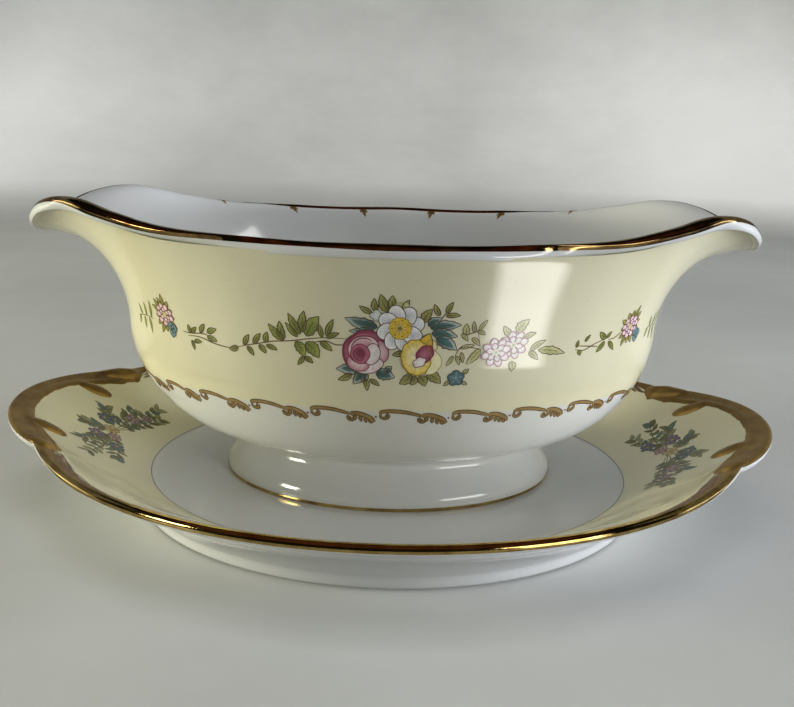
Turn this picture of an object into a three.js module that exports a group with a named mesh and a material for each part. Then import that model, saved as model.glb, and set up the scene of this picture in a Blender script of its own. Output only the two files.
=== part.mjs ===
// A footed porcelain sauce boat with a pouring lip at each end, standing on its oval underplate.
// Millimetres, +X along the boat towards one lip, +Z up, origin on the table under the middle of the set.

import * as THREE from "three";

// Driving dimensions of the underplate.
const PLATE_HALF_WIDTH = 75; // across the middle of the long sides
const PLATE_SIDE_HALF_LENGTH = 102.5; // the oval that the long sides follow
const PLATE_END_LOBE = 8.5; // how far each end lobe stands past that oval
const PLATE_LOBE_FULLNESS = 0.7; // 1 is a plain cosine bump, less is fuller
const PLATE_NOTCH_ANGLE = THREE.MathUtils.degToRad(18.75); // where a lobe meets a long side
const PLATE_SIDE_HEIGHT = 21.4; // rim at the middle of a long side
const PLATE_END_HEIGHT = 27; // rim at the tip of an end lobe
const PLATE_RISE_POWER = 4; // how late the rim starts to rise towards an end
const PLATE_EDGE_RADIUS = 1.3;
const PLATE_WALL = 3.6;
const WELL_HALF_LENGTH = 70.4;
const WELL_HALF_WIDTH = 53.7;
const WELL_HEIGHT = 8; // the face that the boat stands on
const PLATE_FOOT_HALF_LENGTH = 74;
const PLATE_FOOT_HALF_WIDTH = 58;
const PLATE_FOOT_WIDTH = 4;
const PLATE_FOOT_RECESS = 3.5;

// Driving dimensions of the boat.
const FOOT_BASE_HALF_LENGTH = 48.4;
const FOOT_BASE_HALF_WIDTH = 33.7;
const FOOT_TOP_HALF_LENGTH = 43;
const FOOT_TOP_HALF_WIDTH = 28;
const FOOT_TOP_HEIGHT = 20.8; // the bowl's flat underside, where the foot is luted on
const FOOT_LIP_HEIGHT = 1.6; // upright band at the very bottom of the foot
const FOOT_WALL = 3.4;
const BOWL_HALF_LENGTH = 74.9; // at the belly, outside
const BOWL_HALF_WIDTH = 44.2;
const BELLY_HEIGHT = 53;
const BOWL_WALL = 3.4;
// The middle of the lip's round edge at even turns, from a pouring lip's tip round to the long side.
const LIP_POINTS = [
  [99.2, 0, 77.4],
  [97.0, 9.0, 80.2],
  [91.0, 17.2, 83.9],
  [82.3, 23.3, 85.3],
  [70.6, 29.4, 82.8],
  [55.6, 35.0, 80.2],
  [38.0, 39.8, 79.3],
  [19.3, 43.2, 79.0],
  [0, 44.4, 78.9],
];
// Pull of the wall, first upwards as it leaves the belly and then outwards as it runs into the lip.
const NECK_RISE_END = 48;
const NECK_RISE_SIDE = 32;
const LIP_REACH_END = 40;
const LIP_REACH_SIDE = 8;
const LIP_LIFT_SIDE = 4;
const LIP_ROLL = 8; // turns the lip over beside each pouring lip

// How finely the surfaces are divided.
const AROUND = 96;
const EDGE_STEPS = 4;

const TURN = 2 * Math.PI;
const { lerp, smoothstep } = THREE.MathUtils;
const range = (count) => Array.from({ length: count }, (_, i) => i);

// A closed body from closed loops of equal length. With ring true the last loop joins the first;
// otherwise each end is closed by its own centre.
function loft(loops, ring = false) {
  const around = loops[0].length;
  const positions = loops.flat().flatMap((p) => [p.x, p.y, p.z]);
  const index = [];
  const at = (loop, i) => (loop % loops.length) * around + (i % around);
  const bands = ring ? loops.length : loops.length - 1;
  for (let j = 0; j < bands; j++) {
    for (let i = 0; i < around; i++) {
      index.push(at(j, i), at(j, i + 1), at(j + 1, i + 1));
      index.push(at(j, i), at(j + 1, i + 1), at(j + 1, i));
    }
  }
  if (!ring) {
    for (const [loop, first] of [[0, true], [loops.length - 1, false]]) {
      const centre = loops[loop].reduce((sum, p) => sum.add(p), new THREE.Vector3()).divideScalar(around);
      const hub = positions.length / 3;
      positions.push(centre.x, centre.y, centre.z);
      for (let i = 0; i < around; i++) {
        const rim = [at(loop, i), at(loop, i + 1)];
        index.push(hub, ...(first ? rim.reverse() : rim));
      }
    }
  }
  const geometry = new THREE.BufferGeometry();
  geometry.setAttribute("position", new THREE.Float32BufferAttribute(positions, 3));
  geometry.setIndex(index);
  return geometry;
}

const oval = (halfLength, halfWidth, z, turn) =>
  new THREE.Vector3(halfLength * Math.cos(turn), halfWidth * Math.sin(turn), z);

const ovalLoop = (halfLength, halfWidth, z, around) =>
  range(around).map((i) => oval(halfLength, halfWidth, z, (TURN * i) / around));

// ---- Underplate ----

function ovalRadius(halfLength, halfWidth, angle) {
  return 1 / Math.hypot(Math.cos(angle) / halfLength, Math.sin(angle) / halfWidth);
}

// Distance of the rim from the middle: an oval with a lobe at each end, meeting it at four notches.
function rimRadius(angle) {
  const fromEnd = Math.abs(Math.atan2(Math.sin(angle), Math.abs(Math.cos(angle))));
  const bump = Math.cos((Math.PI / 2) * Math.min(fromEnd / PLATE_NOTCH_ANGLE, 1)) ** PLATE_LOBE_FULLNESS;
  return ovalRadius(PLATE_SIDE_HALF_LENGTH, PLATE_HALF_WIDTH, angle) + PLATE_END_LOBE * bump;
}

function rimHeight(angle) {
  const alongShare = Math.abs(rimRadius(angle) * Math.cos(angle)) / (PLATE_SIDE_HALF_LENGTH + PLATE_END_LOBE);
  return lerp(PLATE_SIDE_HEIGHT, PLATE_END_HEIGHT, alongShare ** PLATE_RISE_POWER);
}

// A point of the border, from the well's edge at share 0 to the rim at 1, drop below its upper face.
function borderPoint(angle, share, drop) {
  const inner = ovalRadius(WELL_HALF_LENGTH, WELL_HALF_WIDTH, angle);
  const radius = lerp(inner, rimRadius(angle) - PLATE_EDGE_RADIUS, share);
  const rise = 0.55 * share + 0.45 * smoothstep(share, 0, 1);
  const z = lerp(WELL_HEIGHT, rimHeight(angle), rise) - drop;
  return new THREE.Vector3(radius * Math.cos(angle), radius * Math.sin(angle), z);
}

function underplate() {
  const angles = range(AROUND).map((i) => (TURN * i) / AROUND);
  const border = (share, drop) => angles.map((angle) => borderPoint(angle, share, drop));
  const level = (halfLength, halfWidth, z) =>
    angles.map((angle) => {
      const radius = ovalRadius(halfLength, halfWidth, angle);
      return new THREE.Vector3(radius * Math.cos(angle), radius * Math.sin(angle), z);
    });
  const footLoop = (inset, z) =>
    level(PLATE_FOOT_HALF_LENGTH - inset, PLATE_FOOT_HALF_WIDTH - inset, z);
  const edge = range(EDGE_STEPS - 1).map((k) => {
    const swing = (Math.PI * (k + 1)) / EDGE_STEPS;
    return angles.map((angle) => {
      const p = borderPoint(angle, 1, PLATE_EDGE_RADIUS * (1 - Math.cos(swing)));
      const out = PLATE_EDGE_RADIUS * Math.sin(swing);
      return p.add(new THREE.Vector3(out * Math.cos(angle), out * Math.sin(angle), 0));
    });
  });
  const wellLoops = [0.4, 0.97].map((k) => level(WELL_HALF_LENGTH * k, WELL_HALF_WIDTH * k, WELL_HEIGHT));
  const top = [0.06, 0.2, 0.4, 0.6, 0.8, 1].map((share) => border(share, 0));
  const under = [1, 0.8, 0.6, 0.45].map((share) =>
    border(share, lerp(PLATE_WALL, 2 * PLATE_EDGE_RADIUS, smoothstep(share, 0.6, 1))),
  );
  const foot = [
    footLoop(-1.5, PLATE_FOOT_RECESS + 2.2),
    footLoop(0, PLATE_FOOT_RECESS),
    footLoop(0.5, 0),
    footLoop(PLATE_FOOT_WIDTH, 0),
    footLoop(PLATE_FOOT_WIDTH + 1.2, PLATE_FOOT_RECESS),
  ];
  return loft([...[...wellLoops, ...top, ...edge, ...under, ...foot].reverse()]);
}

// ---- Boat ----

function lipCurve() {
  const quarter = LIP_POINTS.map(([x, y, z]) => new THREE.Vector3(x, y, z));
  const flip = (points, sx, sy) => points.map((p) => new THREE.Vector3(sx * p.x, sy * p.y, p.z));
  const half = [...quarter, ...flip(quarter.slice(0, -1), -1, 1).reverse()];
  const whole = [...half, ...flip(half.slice(1, -1), 1, -1).reverse()];
  return new THREE.CatmullRomCurve3(whole, true, "catmullrom", 0.5);
}

const LIP_CURVE = lipCurve();

// Middle of the bowl's wall. Level runs 0 to 1 over the flat base, to 2 up the belly, to 3 out to the lip.
function wallPoint(turn, level) {
  const half = BOWL_WALL / 2;
  const low = FOOT_TOP_HEIGHT + half;
  if (level <= 1) return oval(FOOT_TOP_HALF_LENGTH * level, FOOT_TOP_HALF_WIDTH * level, low, turn);
  const swing = (Math.PI / 2) * Math.min(level - 1, 1);
  const out = Math.sin(swing);
  const belly = oval(
    lerp(FOOT_TOP_HALF_LENGTH, BOWL_HALF_LENGTH - half, out),
    lerp(FOOT_TOP_HALF_WIDTH, BOWL_HALF_WIDTH - half, out),
    lerp(low, BELLY_HEIGHT, 1 - Math.cos(swing)),
    turn,
  );
  if (level <= 2) return belly;
  const lip = LIP_CURVE.getPoint(turn / TURN);
  const endShare = Math.abs(Math.cos(turn)) ** 3;
  const rise = new THREE.Vector3(0, 0, lerp(NECK_RISE_SIDE, NECK_RISE_END, endShare));
  const reach = new THREE.Vector3(lip.x - belly.x, lip.y - belly.y, 0).normalize();
  reach.multiplyScalar(lerp(LIP_REACH_SIDE, LIP_REACH_END, endShare));
  reach.z = lerp(LIP_LIFT_SIDE, 0, endShare) - LIP_ROLL * Math.sin(2 * turn) ** 2;
  const s = level - 2;
  return new THREE.Vector3()
    .addScaledVector(belly, 2 * s ** 3 - 3 * s ** 2 + 1)
    .addScaledVector(rise, s ** 3 - 2 * s ** 2 + s)
    .addScaledVector(lip, -2 * s ** 3 + 3 * s ** 2)
    .addScaledVector(reach, s ** 3 - s ** 2);
}

// Outward normal of the wall, and the way it heads towards the lip.
function wallFrame(turn, level) {
  const step = 1e-3;
  const along = wallPoint(turn, Math.min(level + step, 3)).sub(wallPoint(turn, level - step)).normalize();
  const around = wallPoint(turn + step, level).sub(wallPoint(turn - step + TURN, level)).normalize();
  return { along, normal: around.cross(along).normalize() };
}

function bowl() {
  const turns = range(AROUND).map((i) => (TURN * i) / AROUND);
  const levels = [0.97, 1.15, 1.3, 1.45, 1.6, 1.8, 2, 2.3, 2.5, 2.7, 2.85, 2.95];
  const skin = (level, side) =>
    turns.map((turn) =>
      wallPoint(turn, level).addScaledVector(wallFrame(turn, level).normal, (side * BOWL_WALL) / 2),
    );
  const edge = range(EDGE_STEPS + 1).map((k) => {
    const swing = (Math.PI * k) / EDGE_STEPS;
    return turns.map((turn) => {
      const { along, normal } = wallFrame(turn, 3);
      return wallPoint(turn, 3)
        .addScaledVector(normal, (Math.cos(swing) * BOWL_WALL) / 2)
        .addScaledVector(along, (Math.sin(swing) * BOWL_WALL) / 2);
    });
  });
  const outside = levels.map((level) => skin(level, 1));
  const inside = levels.map((level) => skin(level, -1)).reverse();
  return loft([...outside, ...edge, ...inside]);
}

function boatFoot() {
  const loop = (share, inset, z) =>
    ovalLoop(
      lerp(FOOT_BASE_HALF_LENGTH, FOOT_TOP_HALF_LENGTH, share) - inset,
      lerp(FOOT_BASE_HALF_WIDTH, FOOT_TOP_HALF_WIDTH, share) - inset,
      z,
      AROUND,
    );
  const height = FOOT_TOP_HEIGHT - WELL_HEIGHT - FOOT_LIP_HEIGHT;
  // The wall stands upright from its lip, then draws in to a waist under the bowl.
  const wall = (share) => [smoothstep(share, 0, 0.9), WELL_HEIGHT + FOOT_LIP_HEIGHT + height * share];
  const outer = [[0, WELL_HEIGHT], ...[0, 0.2, 0.4, 0.6, 0.8, 1].map(wall)];
  const up = outer.map(([share, z]) => loop(share, 0, z));
  const down = outer.map(([share, z]) => loop(share, FOOT_WALL, z)).reverse();
  return loft([...up, ...down], true);
}

const porcelain = new THREE.MeshStandardMaterial({ color: 0xf1f0ea, roughness: 0.12, metalness: 0 });
const ivoryPorcelain = new THREE.MeshStandardMaterial({ color: 0xeee9c8, roughness: 0.12, metalness: 0 });

function part(name, geometry, material) {
  const mesh = new THREE.Mesh(geometry, material);
  mesh.name = name;
  return mesh;
}

const sauceBoatSet = new THREE.Group();
sauceBoatSet.add(part("underplate", underplate(), porcelain));
const boat = new THREE.Group();
boat.add(part("boat_bowl", bowl(), ivoryPorcelain));
boat.add(part("boat_foot", boatFoot(), porcelain));
sauceBoatSet.add(boat);

export default sauceBoatSet;
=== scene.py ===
"""A footed porcelain sauce boat with two pouring lips on its oval underplate.

Shapes are worked out in millimetres in the CAD frame and scaled to metres when a mesh is made.
"""

import math

import bpy
import numpy as np
from mathutils import Matrix, Vector


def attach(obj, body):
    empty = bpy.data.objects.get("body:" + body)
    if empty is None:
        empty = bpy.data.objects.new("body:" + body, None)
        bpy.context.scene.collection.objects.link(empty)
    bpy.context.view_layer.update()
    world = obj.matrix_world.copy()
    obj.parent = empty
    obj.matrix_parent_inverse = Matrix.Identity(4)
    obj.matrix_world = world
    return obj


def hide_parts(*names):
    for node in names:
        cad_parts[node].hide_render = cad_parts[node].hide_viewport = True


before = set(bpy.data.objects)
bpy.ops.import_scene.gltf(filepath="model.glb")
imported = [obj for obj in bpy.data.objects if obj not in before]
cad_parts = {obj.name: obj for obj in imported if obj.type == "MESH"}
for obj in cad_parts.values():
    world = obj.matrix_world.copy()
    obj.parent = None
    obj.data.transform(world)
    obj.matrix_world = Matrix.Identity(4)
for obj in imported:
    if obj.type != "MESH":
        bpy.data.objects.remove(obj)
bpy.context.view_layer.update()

MM = 0.001
TAU = 2 * np.pi

# ---- Sizes shared with the CAD, in millimetres ----
# An oval is its two half axes. NECK_RISE, LIP_REACH and RIM_Z are at the sides and at the ends.
WALL_HALF = 1.7
FOOT_TOP = (43.0, 28.0)
FOOT_BASE = (48.4, 33.7)
FOOT_TOP_Z = 20.8
FOOT_WALL = 3.4
WELL_Z = 8.0
BELLY = (74.9, 44.2, 53.0)
# The lip over a quarter of the turn, from the pouring tip to the middle of the side.
LIP_QUARTER = [
    (99.2, 0, 77.4), (97.0, 9.0, 80.2), (91.0, 17.2, 83.9), (82.3, 23.3, 85.3), (70.6, 29.4, 82.8),
    (55.6, 35.0, 80.2), (38.0, 39.8, 79.3), (19.3, 43.2, 79.0), (0, 44.4, 78.9),
]
NECK_RISE = (32.0, 48.0)
LIP_REACH = (8.0, 40.0)
LIP_LIFT = 4.0
LIP_ROLL = 8.0
WELL = (70.4, 53.7)
PLATE_OVAL = (102.5, 75.0)
LOBE = 8.5
LOBE_FULLNESS = 0.7
NOTCH = math.radians(18.75)
RIM_Z = (21.4, 27.0)
PLATE_EDGE = 1.3
PLATE_WALL = (3.6, 2.6)
PLATE_FOOT = (74.0, 58.0)


def clamp(x, low=0.0, high=1.0):
    return np.minimum(np.maximum(x, low), high)


def smooth(x, low=0.0, high=1.0):
    t = clamp((np.asarray(x, float) - low) / (high - low))
    return t * t * (3 - 2 * t)


def mix(a, b, t):
    return a + (b - a) * t


def ring(a, b, angle, z):
    """Points of an oval with half axes a and b at height z."""
    return np.stack([a * np.cos(angle), b * np.sin(angle), z + 0 * angle], -1)


def hermite(start, slope, end, slope_end, t):
    """A cubic from start to end, with the given slopes there."""
    return (
        (2 * t**3 - 3 * t**2 + 1) * start
        + (t**3 - 2 * t**2 + t) * slope
        + (3 * t**2 - 2 * t**3) * end
        + (t**3 - t**2) * slope_end
    )


def run_along(line):
    """Distance along a line of points, from its first point."""
    return np.concatenate([[0], np.cumsum(np.linalg.norm(np.diff(line, axis=0), axis=1))])


# ---- Bowl wall ----
LIP_LEVEL = 3.0


def lip_loop():
    quarter = np.array(LIP_QUARTER, float)
    half = np.vstack([quarter, (quarter[:-1] * [-1, 1, 1])[::-1]])
    return np.vstack([half, (half[1:-1] * [1, -1, 1])[::-1]])


LIP_LOOP = lip_loop()


def lip(turn):
    """The middle of the wall at the lip. A turn of 0 is the right end, and a quarter turn the back."""
    count = len(LIP_LOOP)
    u = (np.asarray(turn) / TAU * count) % count
    i = np.floor(u).astype(int)
    p0, p1, p2, p3 = [LIP_LOOP[(i + k) % count] for k in (-1, 0, 1, 2)]
    return hermite(p1, (p2 - p0) / 2, p2, (p3 - p1) / 2, (u - i)[..., None])


def wall(turn, level):
    """Middle of the bowl's wall: level 0 to 1 over the base, to 2 up the belly, to 3 out to the lip."""
    turn, level = np.broadcast_arrays(np.asarray(turn, float), np.asarray(level, float))
    c, s = np.cos(turn), np.sin(turn)
    low = FOOT_TOP_Z + WALL_HALF
    swing = np.pi / 2 * clamp(level - 1)
    out, base = np.sin(swing), np.minimum(level, 1)
    a = FOOT_TOP[0] * base + (BELLY[0] - WALL_HALF - FOOT_TOP[0]) * out
    b = FOOT_TOP[1] * base + (BELLY[1] - WALL_HALF - FOOT_TOP[1]) * out
    belly = np.stack([a * c, b * s, low + (BELLY[2] - low) * (1 - np.cos(swing))], -1)
    edge = lip(turn)
    end = np.abs(c) ** 3
    rise = np.stack([0 * end, 0 * end, mix(*NECK_RISE, end)], -1)
    reach = edge - belly
    reach[..., 2] = 0
    reach /= np.maximum(np.linalg.norm(reach, axis=-1, keepdims=True), 1e-9)
    reach *= mix(*LIP_REACH, end)[..., None]
    reach[..., 2] = LIP_LIFT * (1 - end) - LIP_ROLL * np.sin(2 * turn) ** 2
    neck = hermite(belly, rise, edge, reach, clamp(level - 2)[..., None])
    return np.where((level <= 2)[..., None], belly, neck)


def unit(v):
    return v / np.maximum(np.linalg.norm(v, axis=-1, keepdims=True), 1e-12)


def wall_frame(turn, level):
    """Directions up along the wall and out of it."""
    step = 1e-3
    along = unit(wall(turn, np.minimum(level + step, LIP_LEVEL)) - wall(turn, level - step))
    around = wall(turn + step, level) - wall(turn - step, level)
    return along, unit(np.cross(around, along))


def skin(turn, level, offset=WALL_HALF):
    """Points at an offset from the middle of the wall: the outer face, or the inner one if it is negative."""
    normal = wall_frame(turn, level)[1]
    return wall(turn, level) + np.asarray(offset)[..., None] * normal


# ---- Underplate ----
def oval_radius(a, b, angle):
    return 1 / np.hypot(np.cos(angle) / a, np.sin(angle) / b)


def from_end(angle):
    """Angle from the nearer end of the long axis."""
    return np.abs(np.arctan2(np.sin(angle), np.abs(np.cos(angle))))


def rim_radius(angle):
    bump = clamp(np.cos(np.pi / 2 * np.minimum(from_end(angle) / NOTCH, 1))) ** LOBE_FULLNESS
    return oval_radius(*PLATE_OVAL, angle) + LOBE * bump


def rim_height(angle):
    share = np.abs(rim_radius(angle) * np.cos(angle)) / (PLATE_OVAL[0] + LOBE)
    return mix(*RIM_Z, share**4)


def soft_rim(angle, share):
    """The rim's radius as the border feels it: the lobes and notches fade out towards the well."""
    soft = oval_radius(*PLATE_OVAL, angle) + LOBE * 0.92 * smooth(from_end(angle), 2.0 * NOTCH, 0)
    return mix(soft, rim_radius(angle), smooth(share, 0.45, 1.0) ** 1.5)


def border_rise(share):
    return 0.55 * share + 0.45 * smooth(share)


def border(angle, share, drop=0.0):
    """Points on the border at a share of the way from the well to the rim, or below them by drop."""
    inner = oval_radius(*WELL, angle)
    r = inner + (soft_rim(angle, share) - PLATE_EDGE - inner) * share
    return ring(r, r, angle, WELL_Z + (rim_height(angle) - WELL_Z) * border_rise(share) - drop)


# Raised leaves at the gilded ends: base, tip, width and height.
RELIEF = [((99.5, 16.0), (90.6, 17.4), 5.0, 0.8), ((96.4, 26.8), (86.0, 33.8), 5.4, 0.8)]


def leaf_half(u, width):
    """Half width of a moulded leaf at share u of its length."""
    return width / 2 * np.sqrt(clamp(np.sin(np.pi * clamp(0.2 + 0.8 * u) ** 1.35), 1e-6, 1))


def relief(x, y):
    """Height of the moulded leaves and of the bead along the gilding, above the plain border."""
    x, y = np.abs(x), np.abs(y)
    total = np.zeros_like(x)
    for base, tip, width, height in RELIEF:
        base, tip = np.array(base), np.array(tip)
        length = np.linalg.norm(tip - base)
        d = (tip - base) / length
        u = ((x - base[0]) * d[0] + (y - base[1]) * d[1]) / length
        v = (y - base[1]) * d[0] - (x - base[0]) * d[1]
        ends = smooth(u, -0.15, 0.25) * smooth(u, 1.0, 0.75)
        bulge = clamp(1 - (v / leaf_half(u, width)) ** 2) * ends
        groove = 0.12 * np.exp(-(((v - 0.7) / 0.5) ** 2)) * smooth(u, 0.0, 0.3)
        total = np.maximum(total, height * bulge * (1 - groove))
    angle = np.arctan2(y, x)
    from_rim = rim_radius(angle) - np.hypot(x, y)
    ridge = np.exp(-(((from_rim - gold_width(angle) + 1.5) / 1.2) ** 2)) * 0.32
    return total + ridge * smooth(np.degrees(angle), 24, 17)


# Width of the gilded border in from the rim, by angle in degrees from an end.
GOLD_ANGLES = [0, 3, 6, 9, 12, 15.5, 18.5, 20.5, 22, 25, 30, 40, 60, 90]
GOLD_WIDTHS = [7.0, 7.0, 7.0, 7.5, 8.8, 9.2, 7.4, 5.8, 3.9, 3.2, 2.7, 2.4, 1.9, 1.7]


def gold_width(angle):
    return np.interp(np.degrees(from_end(angle)), GOLD_ANGLES, GOLD_WIDTHS)


def plate_height(x, y):
    """Height of the plate's upper face. The rim's softness goes by the share, so that takes a few rounds."""
    angle = np.arctan2(y, x)
    inner = oval_radius(*WELL, angle)
    share = (np.hypot(x, y) - inner) / (rim_radius(angle) - PLATE_EDGE - inner)
    for _ in range(8):
        share = (np.hypot(x, y) - inner) / (soft_rim(angle, share) - PLATE_EDGE - inner)
    z = WELL_Z + (rim_height(angle) - WELL_Z) * np.maximum(border_rise(share), 0)
    return z + relief(x, y)


def on_plate(x, y, lift):
    """Points on the underplate's upper face above table position x, y."""
    x, y = np.asarray(x, float), np.asarray(y, float)
    return np.stack([x, y, plate_height(x, y) + lift], -1)


def on_rim(angle, width, lift):
    """Points on the border by angle and distance in from the rim. They roll round its rounded edge."""
    r = rim_radius(angle) - width
    flat = on_plate(r * np.cos(angle), r * np.sin(angle), lift)
    swing = clamp((PLATE_EDGE - width) / PLATE_EDGE, 0, np.pi)
    out = (PLATE_EDGE + lift) * np.sin(swing)
    rolled = border(angle, 1.0, PLATE_EDGE * (1 - np.cos(swing)) - lift * np.cos(swing))
    rolled += ring(out, out, angle, 0)
    return np.where((width < PLATE_EDGE)[..., None], rolled, flat)


# ---- The bowl's outer skin as a flat chart ----
# Its places are s, the distance along the belly from the middle of the front, and h, the height.
CHART_TURNS = 720
BELT_LEVEL = 2.05
CHART_LOW, CHART_HIGH, CHART_STEP = 24.0, 76.0, 0.4


def make_chart():
    """Places and outward directions on the bowl's outer face, by turn and height."""
    turns = TAU * np.arange(CHART_TURNS + 1) / CHART_TURNS
    levels = np.linspace(1.02, 2.97, 240)
    heights = np.arange(CHART_LOW, CHART_HIGH + CHART_STEP / 2, CHART_STEP)
    tt, ll = np.meshgrid(turns, levels, indexing="ij")
    normal = wall_frame(tt, ll)[1]
    place = wall(tt, ll) + WALL_HALF * normal
    both = np.concatenate([place, normal], -1)
    climb = np.maximum.accumulate(place[..., 2], axis=1)
    chart = [np.stack([np.interp(heights, z, part) for part in row.T], -1) for z, row in zip(climb, both)]
    return np.array(chart), turns, run_along(skin(turns, np.full_like(turns, BELT_LEVEL)))


CHART, CHART_TURN, CHART_ARC = make_chart()
ROUND = CHART_ARC[-1]
FRONT = np.interp(1.5 * np.pi, CHART_TURN, CHART_ARC)


def on_bowl(s, h, lift):
    """Points on the bowl's outer face at chart places s, h."""
    s, h = np.asarray(s, float), np.asarray(h, float)
    turn = np.interp((s + FRONT) % ROUND, CHART_ARC, CHART_TURN)
    i = turn / TAU * CHART_TURNS
    j = (clamp(h, CHART_LOW, CHART_HIGH - 0.01) - CHART_LOW) / CHART_STEP
    i0 = np.minimum(np.floor(i).astype(int), CHART_TURNS - 1)
    j0 = np.minimum(np.floor(j).astype(int), CHART.shape[1] - 2)
    fi, fj = (i - i0)[..., None], (j - j0)[..., None]
    low = mix(CHART[i0, j0], CHART[i0 + 1, j0], fi)
    high = mix(CHART[i0, j0 + 1], CHART[i0 + 1, j0 + 1], fi)
    both = mix(low, high, fj)
    return both[..., :3] + lift * unit(both[..., 3:])


# ---- Meshes ----
def quads(rows, cols, wrap=False, start=0):
    j, i = np.meshgrid(np.arange(rows - 1), np.arange(cols if wrap else cols - 1), indexing="ij")
    k = (i + 1) % cols
    faces = np.stack([j * cols + i, j * cols + k, (j + 1) * cols + k, (j + 1) * cols + i], -1)
    return faces.reshape(-1, 4) + start


def make_mesh(name, points, faces, material, body, values=None):
    """A smooth-shaded piece from points in millimetres; values are per-point colours or numbers."""
    mesh = bpy.data.meshes.new(name)
    places = np.asarray(points).reshape(-1, 3) * MM
    mesh.from_pydata(places.tolist(), [], [list(map(int, f)) for f in faces])
    mesh.validate()
    mesh.polygons.foreach_set("use_smooth", [True] * len(mesh.polygons))
    for key, value in (values or {}).items():
        value = np.asarray(value, np.float32)
        if value.ndim == 2:
            layer = mesh.color_attributes.new(key, "FLOAT_COLOR", "POINT")
            rgba = np.ones((len(value), 4), np.float32)
            rgba[:, :3] = value
            layer.data.foreach_set("color", rgba.ravel())
        else:
            mesh.attributes.new(key, "FLOAT", "POINT").data.foreach_set("value", value)
    mesh.materials.append(material)
    mesh.update()
    piece = bpy.data.objects.new(name, mesh)
    bpy.context.scene.collection.objects.link(piece)
    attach(piece, body)
    return piece


def make_band(name, rows, material, body, flip=False):
    """A gilded band from rows of points that go all the way round."""
    faces = quads(*rows.shape[:2], True)
    make_mesh(name, rows, faces[:, ::-1] if flip else faces, material, body)


def closed_loft(loops, hollow=False):
    """Points and outward faces of a closed body from loops that run anticlockwise seen from above.

    A hollow one goes from its last loop back to its first, and any other is capped at both ends.
    """
    rows, cols = loops.shape[:2]
    points = loops.reshape(-1, 3)
    faces = quads(rows, cols, True).tolist()
    last = (rows - 1) * cols
    steps = [(i, (i + 1) % cols) for i in range(cols)]
    if hollow:
        return points, faces + [[last + i, last + k, k, i] for i, k in steps]
    low, high = len(points), len(points) + 1
    faces += [[low, k, i] for i, k in steps] + [[high, last + i, last + k] for i, k in steps]
    return np.vstack([points, loops[0].mean(0), loops[-1].mean(0)]), faces


# ---- Materials ----
def srgb(*rgb):
    c = np.array(rgb, float) / 255
    return np.where(c <= 0.04045, c / 12.92, ((c + 0.055) / 1.055) ** 2.4)


class Shader:
    """A small helper to lay out a node material."""

    def __init__(self, name):
        self.material = bpy.data.materials.new(name)
        self.material.use_nodes = True
        self.tree = self.material.node_tree
        self.bsdf = self.tree.nodes["Principled BSDF"]

    def put(self, socket, value):
        """Link a value from another node, or set a number or colour on the socket."""
        if isinstance(value, bpy.types.NodeSocket):
            self.tree.links.new(value, socket)
        elif socket.type == "RGBA" and len(value) == 3:
            socket.default_value = (*value, 1)
        else:
            socket.default_value = value

    def node(self, kind, **inputs):
        node = self.tree.nodes.new(kind)
        for key, value in inputs.items():
            self.put(node.inputs[key], value)
        return node

    def noise(self, scale, detail=3.0, rough=0.5):
        coord = self.node("ShaderNodeTexCoord").outputs["Object"]
        node = self.node("ShaderNodeTexNoise", Vector=coord, Scale=scale, Detail=detail, Roughness=rough)
        return node.outputs["Fac"]

    def remap(self, value, a, b, c, d):
        """The value's range a to b, taken to c to d."""
        places = {"Value": value, "From Min": a, "From Max": b, "To Min": c, "To Max": d}
        return self.node("ShaderNodeMapRange", **places).outputs["Result"]

    def blend(self, factor, a, b, mode="MIX"):
        node = self.tree.nodes.new("ShaderNodeMix")
        node.data_type = "RGBA"
        node.blend_type = mode
        for index, value in ((0, factor), (6, a), (7, b)):
            self.put(node.inputs[index], value)
        return node.outputs[2]

    def math(self, operation, *values):
        node = self.tree.nodes.new("ShaderNodeMath")
        node.operation = operation
        for socket, value in zip(node.inputs, values):
            self.put(socket, value)
        return node.outputs[0]

    def place(self):
        """A point's X, Y and Z in its object."""
        coord = self.node("ShaderNodeTexCoord").outputs["Object"]
        return self.node("ShaderNodeSeparateXYZ", Vector=coord).outputs

    def attribute(self, name, output="Fac"):
        node = self.tree.nodes.new("ShaderNodeAttribute")
        node.attribute_name = name
        return node.outputs[output]

    def set(self, **inputs):
        for key, value in inputs.items():
            self.put(self.bsdf.inputs[key.replace("_", " ")], value)

    def bump(self, height, strength, distance):
        node = self.node("ShaderNodeBump", Strength=strength, Distance=distance, Height=height)
        self.tree.links.new(node.outputs["Normal"], self.bsdf.inputs["Normal"])


WHITE = srgb(219, 220, 218)
IVORY = srgb(224, 219, 187)


def porcelain(name):
    """Glazed porcelain: white, ivory where the ground colour is fired, with faint mottling and pinholes."""
    sh = Shader(name)
    ground = sh.blend(sh.attribute("ivory"), WHITE, IVORY)
    cloud = sh.remap(sh.noise(22, 4), 0.3, 0.7, 0.965, 1.0)
    cool = sh.blend(cloud, (0.93, 0.935, 0.95), (1, 1, 1))
    body = sh.blend(1.0, ground, cool, "MULTIPLY")
    speck = sh.remap(sh.noise(1700, 0), 0.845, 0.88, 0.0, 0.4)
    sh.set(Base_Color=sh.blend(speck, body, srgb(150, 135, 110)))
    sh.set(Roughness=sh.remap(sh.noise(60, 3), 0.3, 0.7, 0.07, 0.13))
    sh.set(IOR=1.52, Coat_Weight=0.6, Coat_Roughness=0.03, Coat_IOR=1.5)
    sh.bump(sh.noise(38, 2), 0.12, 0.0004)
    return sh.material


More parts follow.
